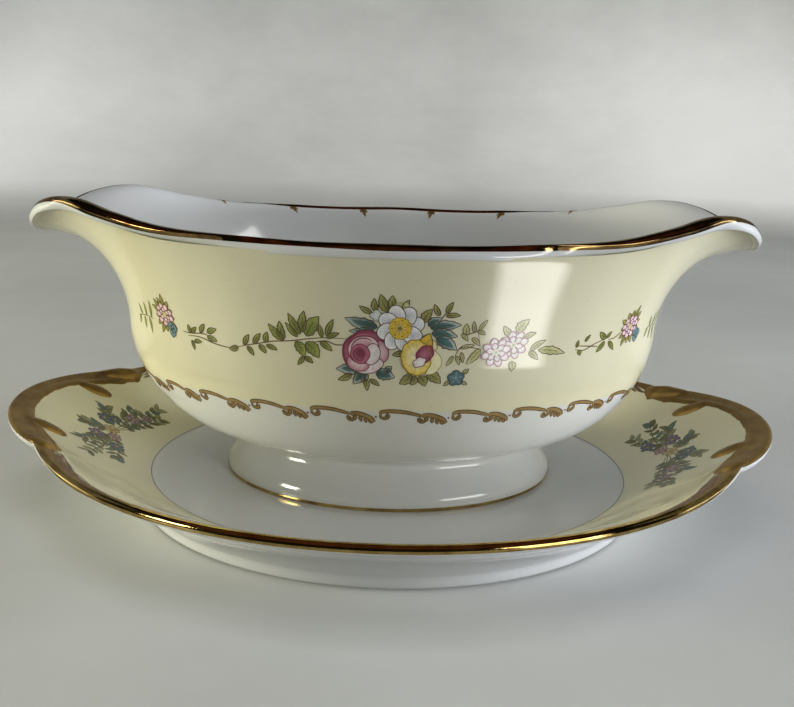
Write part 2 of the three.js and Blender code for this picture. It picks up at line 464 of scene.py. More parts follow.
def gold(name, base, dark, low, high, wear=0.0):
    """Fired gilding, with thin worn patches and a burnish whose roughness goes from low to high."""
    sh = Shader(name)
    patch = sh.remap(sh.noise(150, 5, 0.6), 0.35, 0.68, 0.0, 1.0)
    sh.set(Base_Color=sh.blend(patch, dark, base))
    sh.set(Metallic=1.0 - wear, Roughness=sh.remap(sh.noise(420, 4), 0.3, 0.7, low, high))
    sh.bump(sh.noise(900, 3), 0.15, 0.00012)
    return sh.material


def enamel(name):
    """Hand-painted enamel colours under a thin gloss, denser and paler in patches."""
    sh = Shader(name)
    colour = sh.attribute("Col", "Color")
    wash = sh.remap(sh.noise(650, 4, 0.6), 0.3, 0.72, 0.78, 1.12)
    tone = sh.node("ShaderNodeCombineColor", Red=wash, Green=wash, Blue=wash).outputs[0]
    sh.set(Base_Color=sh.blend(1.0, colour, tone, "MULTIPLY"))
    sh.set(Roughness=sh.remap(sh.noise(300, 2), 0.3, 0.7, 0.12, 0.24))
    sh.set(Coat_Weight=0.5, Coat_Roughness=0.05)
    return sh.material


GLAZE = porcelain("porcelain_glaze")
BRIGHT_GOLD = gold("bright_gold", srgb(220, 194, 124), srgb(156, 124, 70), 0.05, 0.11)
LIP_GOLD = gold("lip_gold", srgb(190, 160, 104), srgb(104, 70, 42), 0.05, 0.12)
MATT_GOLD = gold("matt_gold", srgb(180, 148, 88), srgb(144, 114, 64), 0.3, 0.42, 0.25)
BRUSHED_GOLD = gold("brushed_gold", srgb(150, 120, 92), srgb(112, 84, 72), 0.28, 0.42, 0.4)
ENAMEL = enamel("enamel_colours")

# ---- Boat ----
BOAT_AROUND = 360
BOAT_TURNS = TAU * np.arange(BOAT_AROUND) / BOAT_AROUND
LIP_BEAD = 0.4
# How many degrees up the lip faces where its white bead starts, above the ivory, and where the gold does.
BEAD_START = -56.0
GOLD_START = 12.0
GILT_LIFT = 0.05
# The ivory ground's lower edge, just above the scrolls.
GROUND_LOW = 39.1


def edge_point(turns, swing, lift=0.0):
    """The rounded lip, swung from the outer face over to the inner one, and how far it faces up."""
    top = np.full(len(turns), LIP_LEVEL)
    along, normal = wall_frame(turns, top)
    swing = np.broadcast_to(swing, turns.shape)[:, None]
    facing = np.cos(swing) * normal + np.sin(swing) * along
    rise = np.degrees(np.arcsin(clamp(facing[:, 2], -1, 1)))
    bead = LIP_BEAD * smooth(rise, BEAD_START - 5, BEAD_START + 5) * smooth(np.degrees(swing[:, 0]), 120, 60)
    return wall(turns, top) + (WALL_HALF + lift + bead)[:, None] * facing, rise


def levels_from_lip(turn, distances):
    """Wall levels at these distances below the lip."""
    table = np.linspace(LIP_LEVEL, 2.3, 160)
    return np.interp(distances, run_along(wall(turn, table)), table)


def all_round(levels):
    return np.repeat(np.asarray(levels)[:, None], BOAT_AROUND, 1)


def boat_body():
    """The bowl's porcelain, with a shallow groove below the lip's bead, and where its ivory ground lies."""
    near = np.concatenate([np.arange(0.12, 2.9, 0.18), [3.2, 3.7, 4.4, 5.4, 6.6]])[::-1]
    close = np.array([levels_from_lip(t, near) for t in BOAT_TURNS]).T
    low = [0.06, 0.4, 0.8, 0.95, *np.linspace(1, 2, 46), *np.linspace(2.02, 2.55, 26)]
    mid = [mix(low[-1], close[0], k) for k in np.linspace(0, 1, 14)[1:-1]]
    run = np.vstack([np.full((len(low) + len(mid), BOAT_AROUND), 99.0), all_round(near)])
    groove = 0.12 * np.exp(-(((run - 0.45) / 0.3) ** 2))
    outer = skin(BOAT_TURNS, np.vstack([all_round(low), mid, close]), WALL_HALF - groove)
    swings = np.radians([*np.arange(0, 90, 2.5), *np.arange(90, 181, 7.5)])
    edge, rises = zip(*[edge_point(BOAT_TURNS, swing) for swing in swings])
    inside = [*np.linspace(2.98, 2.02, 40), *np.linspace(2, 1, 32), *low[3::-1]]
    inner = skin(BOAT_TURNS, all_round(inside), np.float64(-WALL_HALF))
    points, faces = closed_loft(np.vstack([outer, edge, inner]))
    below_bead = smooth(np.array(rises), BEAD_START - 1.5, BEAD_START - 5.5) * (swings < np.pi / 2)[:, None]
    ground = np.vstack([smooth(outer[..., 2], GROUND_LOW, GROUND_LOW + 0.5), below_bead])
    ivory = np.zeros(len(points))
    ivory[: ground.size] = ground.ravel()
    piece = make_mesh("boat_body", points, faces, GLAZE, "boat", {"ivory": ivory})
    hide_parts("boat_bowl")


def quarter_round(depth, radius):
    """How far a corner of this radius stands back at a depth into it."""
    return radius * (1 - np.sqrt(clamp(1 - (clamp(depth, 0, radius) / radius) ** 2)))


FOOT_COLLAR_Z = 9.6
FOOT_FILLET = 2.6
FOOT_EDGE = 0.5


def foot_loop(z, inset, turns):
    """A loop of the flared foot, in from its outer face by inset, with its fillet and its rounded edge."""
    share = 1 - smooth((z - FOOT_COLLAR_Z) / (FOOT_TOP_Z - FOOT_COLLAR_Z), 0, 0.9)
    fillet = quarter_round(z - (FOOT_TOP_Z - FOOT_FILLET), FOOT_FILLET)
    extra = fillet - quarter_round(WELL_Z + FOOT_EDGE - z, FOOT_EDGE) - inset
    return ring(*(mix(top, base, share) + extra for top, base in zip(FOOT_TOP, FOOT_BASE)), turns, z)


def boat_foot():
    """The hollow foot, which reaches a little way up into the bowl's porcelain."""
    rounded = WELL_Z + np.array([0, 0.06, 0.15, 0.3])
    heights = [*rounded, *np.linspace(WELL_Z + FOOT_EDGE, FOOT_TOP_Z - 0.01, 44)]
    up = [foot_loop(z, 0, BOAT_TURNS) for z in heights]
    top = foot_loop(FOOT_TOP_Z, -0.1, BOAT_TURNS) + [0, 0, 0.5]
    down = [foot_loop(z, FOOT_WALL, BOAT_TURNS) for z in np.linspace(FOOT_TOP_Z, WELL_Z + FOOT_EDGE, 24)]
    for thinner, lower in ((0.2, 0.3), (0.6, FOOT_EDGE)):
        down.append(foot_loop(WELL_Z + FOOT_EDGE, FOOT_WALL - thinner, BOAT_TURNS) - [0, 0, lower])
    points, faces = closed_loft(np.array([*up, top, *down]), hollow=True)
    no_ivory = {"ivory": np.zeros(len(points))}
    piece = make_mesh("boat_foot_ring", points, faces, GLAZE, "boat", no_ivory)
    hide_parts("boat_foot")


# ---- Underplate body ----
# The angles are closer together over the moulded ends.
PLATE_ANGLES = np.radians([
    *np.arange(0, 26, 0.25), *np.arange(26, 154, 0.8), *np.arange(154, 206, 0.25),
    *np.arange(206, 334, 0.8), *np.arange(334, 360, 0.25),
])
# The underside from the border in to the middle: how far in from PLATE_FOOT, and the height.
PLATE_FOOT_PROFILE = [
    (-1.5, 5.7), (-0.9, 4.75), (-0.35, 4.0), (0.0, 3.3), (0.15, 2.2), (0.3, 1.2), (0.45, 0.6),
    (0.75, 0.17), (1.2, 0.0), (3.0, 0.0), (3.5, 0.12), (3.9, 0.45), (4.3, 1.4), (4.7, 2.6), (5.2, 3.25),
    (6.0, 3.5), (16, 3.5),
]


def plate_body():
    def oval(a, b, z):
        r = oval_radius(a, b, PLATE_ANGLES)
        return ring(r, r, PLATE_ANGLES, z)

    well = [oval(WELL[0] * k, WELL[1] * k, WELL_Z) for k in (0.03, 0.3, 0.6, 0.8, 0.9, 0.97)]
    top = []
    for share in np.concatenate([np.linspace(0, 0.62, 26), np.linspace(0.63, 1, 54)]):
        loop = border(PLATE_ANGLES, share)
        loop[:, 2] += relief(loop[:, 0], loop[:, 1])
        top.append(loop)
    edge = []
    for swing in np.linspace(0, np.pi, 13)[1:-1]:
        out = PLATE_EDGE * np.sin(swing)
        lower = border(PLATE_ANGLES, 1.0, PLATE_EDGE * (1 - np.cos(swing)))
        edge.append(lower + ring(out, out, PLATE_ANGLES, 0))
    under = [border(PLATE_ANGLES, s, mix(*PLATE_WALL, smooth(s, 0.6, 1))) for s in np.linspace(1, 0.45, 26)]
    foot = [oval(PLATE_FOOT[0] - d, PLATE_FOOT[1] - d, z) for d, z in PLATE_FOOT_PROFILE]
    loops = np.array([*well, *top, *edge, *under, *foot])[::-1]
    points, faces = closed_loft(loops)
    upper = loops[len(edge + under + foot):]
    past_well = np.hypot(upper[..., 0], upper[..., 1]) - oval_radius(*WELL, PLATE_ANGLES)
    ivory = np.zeros(len(points))
    ivory[loops[..., 0].size - past_well.size : loops[..., 0].size] = smooth(past_well, -0.1, 0.5).ravel()
    piece = make_mesh("plate_body", points, faces, GLAZE, "stand", {"ivory": ivory})
    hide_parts("underplate")


# ---- Gilding ----
def lip_gilding():
    """Gold over the crown of the lip, brushed down inside the pouring lips."""
    turns = TAU * np.arange(BOAT_AROUND * 2) / (BOAT_AROUND * 2)
    near = np.sin(turns) < 0
    end = np.abs(np.cos(turns))
    brush = 0.6 * np.sin(turns * 23) + 0.4 * np.sin(turns * 57 + 1) + 0.25 * np.sin(turns * 91 + 2)
    spread = np.where(near, smooth(end, 0.42, 0.9), smooth(end, 0.965, 0.998)) * 3.2
    width = 0.35 + spread * (1 + 0.3 * brush) + smooth(end, np.where(near, 0.9, 0.97), 1.0) * 2.0
    along, _ = wall_frame(turns, np.full(len(turns), LIP_LEVEL))
    first = np.radians(90 + GOLD_START) - np.arcsin(along[:, 2])
    rows = [edge_point(turns, mix(first, np.pi, share), GILT_LIFT)[0] for share in np.linspace(0, 1, 16)]
    for share in np.linspace(0.12, 1, 8):
        level = np.array([levels_from_lip(t, w * share) for t, w in zip(turns, width)])
        rows.append(skin(turns, level, np.float64(-WALL_HALF - GILT_LIFT * (1 - 0.5 * share))))
    make_band("lip_gilding", np.array(rows), LIP_GOLD, "boat")


def foot_gilding():
    """A gold line just above the foot's edge."""
    rows = [foot_loop(z, -0.04, BOAT_TURNS) for z in WELL_Z + np.linspace(0.15, 1.15, 5)]
    make_band("foot_gilding", np.array(rows), BRIGHT_GOLD, "boat")


def plate_gilding():
    """Matt gold over the moulded ends, and a burnished line round the edge."""
    angles = TAU * np.arange(1440) / 1440
    end = np.degrees(from_end(angles))
    ragged = 0.1 * np.sin(angles * 97) + 0.08 * np.sin(angles * 211 + 1)
    matt = (mix(-0.12, 1.4, smooth(end, 19, 27)), gold_width(angles) + ragged)
    bright = (mix(-0.08, -1.1, smooth(end, 20, 36)), mix(0.0, 1.5, smooth(end, 18, 26)))
    for name, sides, count, lift, material in (
        ("border_gilding", matt, 34, GILT_LIFT, MATT_GOLD),
        ("edge_gilding", bright, 12, GILT_LIFT + 0.02, BRIGHT_GOLD),
    ):
        rows = [on_rim(angles, mix(*sides, k), lift + 0 * angles) for k in np.linspace(0, 1, count)]
        make_band(name, np.array(rows), material, "stand", flip=True)


# ---- Painted decoration ----
# Each layer of paint lies over the one below, and each of eight sheets in a row a little over the last.
PAINT_LIFT, LAYER_LIFT, SHEET_LIFT = 0.03, 0.004, 0.0004


def heading(angle, across=1.0, up=1.0):
    return np.array([math.cos(angle) * across, math.sin(angle) * up])


def left_of(direction):
    return np.stack([-direction[..., 1], direction[..., 0]], -1)


def curve(p, fine):
    """Points of a smooth line through p, fine times as many."""
    slope = np.gradient(np.vstack([2 * p[0] - p[1], p, 2 * p[-1] - p[-2]]), axis=0)[1:-1]
    t = (np.arange(fine) / fine)[:, None]
    parts = [hermite(p[i], slope[i], p[i + 1], slope[i + 1], t) for i in range(len(p) - 1)]
    return np.vstack([*parts, p[-1:]])


class Paint:
    """Thin coloured sheets that follow a surface. Higher layers cover lower ones."""

    def __init__(self, surface, shift=0.0):
        self.surface, self.shift = surface, shift
        self.base = 0  # a number of layers that lifts what is painted next
        self.points, self.faces, self.colours = [], [], []
        self.count = 0

    def sheet(self, grid, colour, layer=0):
        rows, cols = grid.shape[:2]
        lift = PAINT_LIFT + LAYER_LIFT * (layer + self.base) + SHEET_LIFT * (len(self.points) % 8)
        self.points.append(self.surface(grid[..., 0] + self.shift, grid[..., 1], lift).reshape(-1, 3))
        self.colours.append(np.broadcast_to(colour, (rows, cols, 3)).reshape(-1, 3))
        self.faces.append(quads(rows, cols, start=self.count))
        self.count += rows * cols

    def stroke(self, points, width, colour, layer=3, taper=0.35, fine=3):
        """A brush line through points, thinner at its ends."""
        p = np.array(points, float)
        if len(p) > 2 and fine > 1:
            p = curve(p, fine)
        side = left_of(unit(np.gradient(p, axis=0)))
        t = np.linspace(0, 1, len(p))
        half = width / 2 * (taper + (1 - taper) * np.sin(np.pi * t) ** 0.5)
        grid = np.stack([p - side * half[:, None], p + side * half[:, None]], 1)
        self.sheet(grid, colour, layer)

    def leaf(self, base, tip, width, fill, dark, line=None, layer=0, bend=0.0, vein=True, weight=0.24):
        """A leaf shaded from dark to fill, with an outline. A wide one has a wavy edge and side veins."""
        base, tip = np.array(base, float), np.array(tip, float)
        length = np.linalg.norm(tip - base)
        d = (tip - base) / length
        n = left_of(d)
        broad = vein and width > 1.6
        u = np.linspace(0, 1, 21 if broad else 11)
        half = width / 2 * np.sin(np.pi * u**0.8) ** 0.85 * (1 - 0.1 * u)
        if broad:
            half = half * (1.04 - 0.2 * np.abs(np.sin(4 * np.pi * u**0.9)))
        mid = base + np.outer(u * length, d) + np.outer(bend * np.sin(np.pi * u), n)
        v = np.linspace(-1, 1, 5)
        grid = mid[:, None] + (half[:, None] * v)[..., None] * n
        tone = clamp(0.15 + 0.75 * u[:, None] + 0.25 * v[None] * np.sin(np.pi * u[:, None]))[..., None]
        self.sheet(grid, mix(dark, fill, tone), layer)
        if line is None:
            return
        for side in (-1, 1):
            self.stroke(mid + (half * side)[:, None] * n, weight, line, layer + 2, fine=1, taper=0.6)
        if vein:
            self.stroke(mid[1 : len(u) * 3 // 4], weight * 0.7, line, layer + 2, fine=1)
        if broad:
            for k in (4, 8, 12):
                for side in (-0.75, 0.75):
                    ends = [mid[k], mid[k + 3] + side * half[k + 3] * n]
                    self.stroke(ends, weight * 0.55, line, layer + 2)

    def blob(
        self, centre, rx, ry, inner, outer, lobes=0, depth=0, turn=0, layer=0, line=None, weight=0.24, power=1
    ):
        """A round petal or dot shaded from inner to outer, its edge drawn in by depth between its lobes."""
        a = np.linspace(0, TAU, 61)
        k = 1 - depth * (1 - np.abs(np.cos(lobes * a / 2)))
        c, s = heading(turn)
        edge = np.stack([rx * k * np.cos(a), ry * k * np.sin(a)], -1) @ np.array([[c, s], [-s, c]])
        t = np.linspace(0, 1, 6)[:, None, None]
        self.sheet(np.array(centre) + t * edge, mix(inner, outer, t**power), layer)
        if line is not None:
            self.stroke(np.array(centre) + edge, weight, line, layer + 2, taper=1, fine=1)

    def done(self, name, body, material=ENAMEL):
        colours = {"Col": np.vstack(self.colours)}
        make_mesh(name, np.vstack(self.points), np.vstack(self.faces), material, body, colours)


def arc_points(centre, radius, start, end):
    return np.array([centre + radius * heading(a) for a in np.radians(np.linspace(start, end, 14))])


LINE = srgb(84, 58, 40)
OLIVE, OLIVE_DARK, OLIVE_PALE = srgb(182, 180, 104), srgb(116, 120, 52), srgb(212, 210, 158)
GREEN, GREEN_DARK = srgb(170, 176, 90), srgb(100, 114, 44)
TEAL, TEAL_DARK, TEAL_PALE = srgb(86, 128, 122), srgb(34, 72, 68), srgb(196, 208, 196)
ROSE, ROSE_DARK, ROSE_PALE = srgb(196, 118, 138), srgb(132, 44, 70), srgb(238, 214, 214)
PETAL, PETAL_GREY = srgb(250, 249, 246), srgb(206, 208, 214)
YELLOW, YELLOW_DARK, CREAM = srgb(238, 204, 58), srgb(196, 152, 30), srgb(247, 240, 190)
YELLOW_LINE = srgb(150, 112, 30)
BLUE = srgb(84, 108, 122)
PINK_RIM, PINK_PALE = srgb(176, 98, 134), srgb(246, 232, 234)
BROWN_GOLD, BROWN_LINE = srgb(154, 124, 74), srgb(74, 50, 26)

# Leaves on the bowl's chart: s and h of the base, s and h of the tip, and the width.
OLIVE_LEAVES = [
    (-3.7, 64.5, -6.5, 66.1, 1.3), (-2.7, 64.7, -3.2, 68, 1.7), (0.2, 64.8, -1.8, 69.0, 2.6),
    (1.6, 64.8, 1.2, 68.8, 2.6), (3.9, 65, 5, 67.9, 1.4), (8.2, 62.4, 10, 65.8, 2.4),
    (11.8, 64.2, 10.3, 67, 1.2), (13.2, 64.7, 14.2, 67.6, 1.2), (13.1, 64.2, 16.3, 64.3, 1.2),
    (-5, 48.4, -4.5, 45.2, 1.4), (-4, 48.2, -1.5, 46.6, 1.2), (-8.1, 49.4, -11.6, 47.7, 1.7),
    (6.1, 49.8, 3.2, 47.3, 2.6), (7, 49.4, 6, 47, 1.9), (7.9, 49.4, 9.5, 46.8, 2.6),
    (9.7, 50.1, 13.2, 47.5, 2.9), (3.9, 55.3, 1.3, 54.5, 1.4),
]
TEAL_LEAVES = [
    (-2.3, 61.1, -9.7, 63.1, 2.8), (-3.1, 60.2, -8.9, 60, 1.6), (9.9, 61.3, 16.9, 62, 2.4),
    (10.3, 60, 16.4, 59.2, 2.4), (11.5, 58.8, 16.6, 55.9, 2.8), (9.4, 61.8, 12.4, 63.7, 1.8),
    (-5.3, 51.5, -12, 50.5, 2.9), (-5.3, 50.8, -7.9, 46.8, 2.6), (-2.4, 49.8, 2.1, 48.9, 2.8),
    (0, 50.1, 1.3, 51.7, 1.2), (-4.9, 50.1, -5.7, 47.3, 1.6),
]
SPRAY_LEAVES = [
    (21.1, 60.6, 22.6, 63.3, 1.0), (20.3, 60.1, 19.5, 63, 1.0), (18.5, 59.5, 18, 62.4, 1.7),
    (20.9, 60.6, 22.8, 59.6, 1.0), (17.2, 60, 19, 58.1, 1.0), (19.8, 58.9, 22, 56.9, 1.2),
    (15.8, 54.5, 14.2, 52, 1.0), (16.4, 54.5, 17.4, 52.2, 1.0), (17.6, 55.4, 18.2, 52.7, 1.0),
    (22.2, 56.1, 19, 52.4, 2.1), (17.2, 56.3, 20.7, 57.1, 1.0),
]
TWIN_LEAVES = [
    (29.3, 59.2, 26.7, 61.7, 1.7), (30.4, 59.9, 32.4, 63.2, 2.9), (32.5, 58.6, 35.3, 59.7, 1.4),
    (34.8, 55.4, 38.4, 57.8, 1.7), (36.9, 55.4, 44.5, 54.1, 2.3), (34.5, 55, 37.2, 52.9, 1.7),
    (30.3, 52.9, 30.4, 50.3, 2.1),
]
SPRIG_LEAVES = [
    (47.8, 55.2, 47.9, 57.1, 0.8), (49.9, 56.5, 51.1, 58.2, 0.8), (48.4, 54.5, 49.2, 53.1, 1.0),
    (56.7, 56.6, 53.9, 58.7, 1.3), (56.9, 56.8, 58.1, 58.4, 1.0), (56.5, 56, 54.1, 53.4, 1.3),
    (57.7, 55.9, 60.1, 53.3, 1.1), (-50.7, 55.4, -51.1, 57.6, 1.1), (-50.5, 55.4, -48.6, 57.2, 1.0),
    (-47.7, 55.9, -45.8, 58.4, 1.1), (-45.5, 56.2, -42.5, 57.5, 1.3), (-45.7, 55.1, -42.8, 54.4, 1.3),
    (-50.7, 53.6, -49.9, 51.2, 0.8), (-50, 53.4, -47.5, 53.6, 1.0), (-36.9, 53.7, -39.4, 52.9, 1.5),
    (-35.3, 54.4, -33.5, 57.2, 1.2), (-32.7, 54.9, -30.4, 57.8, 1.2), (-29.5, 55.5, -28.6, 58.3, 1.3),
    (-34.4, 54.2, -32.7, 52, 1.1), (-31.2, 54.9, -29.5, 52.9, 1.3), (-29.3, 55, -26.5, 54, 1.1),
    (-24.8, 56.6, -27.9, 60.4, 2.1), (-24.8, 56.6, -25, 61.3, 1.9), (-15.2, 58, -15.5, 61, 1.1),
    (-14.2, 58.4, -12.3, 62.6, 1.3), (-14.2, 57.9, -11.1, 59.3, 1.1), (-15.8, 56.9, -12.9, 54.8, 1.4),
    (-20.4, 58.4, -22.5, 63.4, 2.0), (-19.9, 58.9, -18.7, 64.2, 2.0), (-19, 58.1, -15.5, 63.1, 3.2),
    (-21.1, 57.7, -23.6, 61.1, 1.4), (-19.2, 56.6, -16.1, 52.9, 3.1), (-21.7, 56.6, -19.6, 52.9, 2.6),
    (-19.8, 53.1, -21.4, 50.8, 1.1), (-19.6, 52.9, -17.6, 51.5, 1.1),
]
STEMS = [
    [(-36.9, 53.7), (-34.7, 54.4), (-30.9, 55.3), (-27.6, 56.1), (-23.1, 56.6), (-15.6, 57.9), (-9.1, 58.0)],
    [(-18.2, 56.4), (-14.5, 57.2), (-12.0, 56.4), (-9.1, 56.6)],
    [(-53.3, 55.6), (-51.0, 55.4), (-46.3, 55.8), (-43.4, 54.6)],
    [(-51.8, 54.7), (-47.9, 54.8), (-44.4, 53.9), (-40.6, 53.3), (-38.4, 53.3)],
    [(47.4, 54.8), (49.9, 54.3), (52.5, 55.4), (54.8, 56.2), (56.7, 56.6)],
    [(47.4, 55.7), (51.8, 55.2), (54.5, 54.9)],
    [(57.5, 56.4), (59.5, 56.5), (62.0, 58.0)],
    [(12.0, 62.8), (12.6, 64.2), (13.6, 65.2)],
    [(17.4, 58.9), (19.2, 59.9), (20.9, 60.6), (21.8, 62.3)],
    [(20.9, 60.4), (22.0, 57.1)],
    [(22.2, 56.1), (19.2, 56.6), (17.2, 56.3), (16.3, 54.5)],
]


def rays(p, c, count, start, end, width, colour, layer, first=0, fan=360, across=1.0):
    """Strokes out from a middle, over a fan of degrees from the first one."""
    for k in range(count):
        d = heading(math.radians(first + fan / count * k), across)
        p.stroke([c + d * start, c + d * end], width, colour, layer)


def daisy(p, c, r):
    """A white flower with grey-streaked petals and a scalloped yellow middle."""
    for k in range(8):
        a = TAU * (k + 0.35) / 8
        d = heading(a)
        p.blob(c + d * r * 0.6, r * 0.43, r * 0.38, PETAL_GREY, PETAL, 3, 0.06, a, 4 * k, LINE, 0.2, 0.5)
        for f in (-0.2, -0.07, 0.06, 0.19):
            start = c + d * r * 0.5 + left_of(d) * f * r * 0.6
            end = c + d * r * (0.84 + 0.05 * (k % 2)) + left_of(d) * f * r
            p.stroke([start, end], 0.15, srgb(150, 154, 164), 4 * k + 3)
    p.blob(c, r * 0.5, r * 0.5, YELLOW_DARK, YELLOW, 14, 0.14, 0, 34, YELLOW_LINE, 0.16)
    rays(p, c, 9, 0.35, r * 0.3, 0.3, CREAM, 37)
    p.blob(c, 0.62, 0.55, srgb(120, 104, 40), srgb(150, 126, 44), 5, 0.3, 0, 39)
    for k in range(7):
        dot = c + heading(TAU * (k + 0.5) / 7) * r * 0.36
        p.blob(dot, 0.2, 0.2, srgb(176, 120, 40), srgb(150, 100, 30), layer=38)


# The rose's petals, each over the one before: place, half width, half height, inner and outer colour,
# lobes and their depth, turn, and the outline's colour, width and the power that the shading goes by.
ROSE_PETALS = [
    (0.1, 0.3, 5.3, 5.0, ROSE, ROSE_DARK, 5, 0.06, 0.3, LINE, 0.24, 1.2),
    (-3.2, -0.4, 2.1, 3.6, ROSE, ROSE_DARK, 0, 0, 0.1, ROSE_DARK, 0.2, 1.5),
    (1.0, 3.1, 3.9, 2.1, ROSE, ROSE_DARK, 3, 0.04, -0.15, ROSE_DARK, 0.24, 1),
    (3.7, 0.2, 1.9, 2.7, ROSE_PALE, ROSE, 0, 0, 0.2, LINE, 0.2, 1.3),
    (0.9, -3.3, 3.6, 2.0, PETAL, ROSE_PALE, 4, 0.05, 0.25, LINE, 0.2, 1),
    (-1.6, -2.7, 2.8, 2.1, ROSE_PALE, ROSE, 3, 0.04, -0.3, ROSE_DARK, 0.18, 2),
    (-0.4, 0.6, 3.8, 3.3, ROSE, ROSE_PALE, 3, 0.05, 0.5, ROSE_DARK, 0.26, 1.5),
    (1.7, -0.5, 1.9, 2.7, PETAL, ROSE_PALE, 3, 0.05, -0.25, LINE, 0.2, 1),
    (-1.1, -0.5, 2.3, 2.4, ROSE_DARK, ROSE, 4, 0.05, 0.2, ROSE_DARK, 0.24, 1.4),
]
# The folds drawn over it: centre, radius, first and last angle in degrees, width and colour.
ROSE_FOLDS = [
    (-1.2, -0.6, 1.5, 40, 300, 0.26, ROSE_DARK), (-1.1, -0.5, 0.85, -60, 190, 0.26, srgb(104, 30, 54)),
    (-0.3, 0.5, 2.9, 55, 175, 0.3, ROSE_DARK), (-0.3, 0.9, 3.4, 70, 150, 0.2, ROSE),
]


def rose(p, c):
    """A full rose: dark outer petals, a pale heart and whitish lower petals."""
    for k, (x, y, *shape, line, weight, power) in enumerate(ROSE_PETALS):
        p.blob(c + [x, y], *shape, 2 + 3 * k, line, weight, power)
    for x, y, radius, start, end, width, colour in ROSE_FOLDS:
        p.stroke(arc_points(c + [x, y], radius, start, end), width, colour, 30)
    for k in range(5):
        q = c + [-2.6 + 1.5 * k, -4.3 + 0.25 * abs(k - 2)]
        p.stroke([q, q + [0.25, 1.0]], 0.16, ROSE, 19)


def yellow_flower(p, c):
    """A trumpet flower: golden scalloped rim on the left, cream petals on the right, pink throat."""
    p.leaf(c + [1.4, 0.6], c + [2.9, 5.4], 3.6, YELLOW, YELLOW_DARK, LINE, 3, vein=False)
    p.leaf(c + [2.0, 2.6], c + [5.0, 1.9], 3.4, CREAM, YELLOW, srgb(170, 150, 90), 3, vein=False)
    p.blob(c + [3.1, -1.6], 3.0, 3.1, CREAM, CREAM, 4, 0.05, 0, 3, srgb(176, 160, 100), 0.18)
    p.blob(c + [0.0, -0.6], 3.6, 4.5, CREAM, YELLOW, 11, 0.06, 0.2, 6, YELLOW_LINE, 0.22, 1.6)
    rays(p, c + [0.2, -0.4], 11, 2.4, 3.9, 0.2, YELLOW_DARK, 8, first=95, fan=187)
    p.blob(c + [2.0, 0.3], 2.5, 1.9, ROSE, ROSE_DARK, 6, 0.08, 0.9, 8, ROSE_DARK, 0.2)
    p.blob(c + [0.8, -1.7], 1.7, 1.2, PETAL, ROSE_PALE, 5, 0.16, 0.5, 11, LINE, 0.18)


def pink_rimmed(p, c, r, squash=1.0):
    """A white flower with two rows of pink-edged petals and a green heart."""
    for row, (reach, size, count) in enumerate(((0.66, 0.36, 8), (0.4, 0.27, 6))):
        for k in range(count):
            a = TAU * (k + 0.5 * row) / count + 0.3
            d = heading(a, squash)
            layer = 4 + 4 * row
            shape = (r * size, r * size * 0.86, PETAL, PINK_RIM, 3, 0.16, a)
            p.blob(c + d * r * reach, *shape, layer, srgb(142, 80, 98), 0.17, 3.4)
            p.stroke([c + d * r * (reach - 0.1), c + d * r * (reach + 0.22)], 0.14, PINK_RIM, layer + 3)
    p.blob(c, r * 0.28 * squash, r * 0.24, srgb(206, 206, 134), PETAL, 5, 0.3, 0, 12)
    rays(p, c, 6, 0, r * 0.3, 0.18, GREEN_DARK, 14, math.degrees(0.3), across=squash)


def small_pink(p, c):
    """A little pink flower in a ruff of leaves."""
    for k in range(13):
        d = heading(math.radians(20 + 27.7 * k), 0.95, 1.2)
        tip = c + d * (3.7 + 0.5 * (k % 3))
        p.leaf(c + d * 1.9, tip, 1.25, OLIVE, OLIVE_DARK, LINE, vein=False, weight=0.2)
    for row, (reach, size, count) in enumerate(((2.1, 0.95, 9), (1.2, 0.7, 6))):
        for k in range(count):
            a = TAU * (k + 0.5) / count
            shape = (size, size * 0.8, PINK_PALE, srgb(224, 178, 188), 0, 0, a)
            p.blob(c + heading(a) * reach, *shape, 4 + 3 * row, srgb(122, 70, 66), 0.22)
    p.blob(c, 0.8, 0.9, srgb(236, 226, 170), srgb(206, 190, 110), 5, 0.1, 0, 12, LINE, 0.14)


def blue_bud(p, c):
    """Three overlapping blue petals with a pale edge."""
    for x, y in ((-0.5, 0.8), (0.6, 0.3), (0.0, -0.9)):
        p.blob(c + [x, y], 1.0, 1.15, BLUE, srgb(150, 168, 176), 4, 0.15, 0, 14, TEAL_DARK, 0.2)


def blue_flower(p, c):
    """A blue flower with five pale rays and three leaves of its own."""
    p.blob(c, 2.1, 2.0, TEAL, BLUE, 5, 0.2, 0.4, 3, TEAL_DARK, 0.22)
    rays(p, c, 5, 0, 1.6, 0.22, TEAL_PALE, 6, first=20)
    around = [(-1.5, -0.7, -2.9, -2.0, 1.0), (1.6, 1.1, 3.0, 2.3, 1.0), (1.4, -1.0, 2.9, -1.7, 0.9)]
    leaves(p, [(*c, *c, 0) + np.array(leaf) for leaf in around], OLIVE_PALE, OLIVE, bend=0)


def end_sprig(p, c):
    """Six small leaves by turns below and above a short stem."""
    for k in range(6):
        up = 1 if k % 2 else -1
        base, tip = c + [1.1 * (k - 2.5), 0], c + [1.5 * (k - 2.5), up * (2.6 + 0.4 * k)]
        p.leaf(base, tip, 0.9, OLIVE, OLIVE_DARK, OLIVE_DARK, 1, vein=False)
    p.stroke([c + [-4, -0.4], c + [0, 0.2], c + [4, -0.2]], 0.26, OLIVE_DARK, 1)


def leaves(p, table, fill, dark, line=LINE, weight=0.24, bend=0.1, fuller=1.0):
    for s0, h0, s1, h1, width in table:
        p.leaf((s0, h0), (s1, h1), width * fuller, fill, dark, line, 1, bend * width, weight=weight)


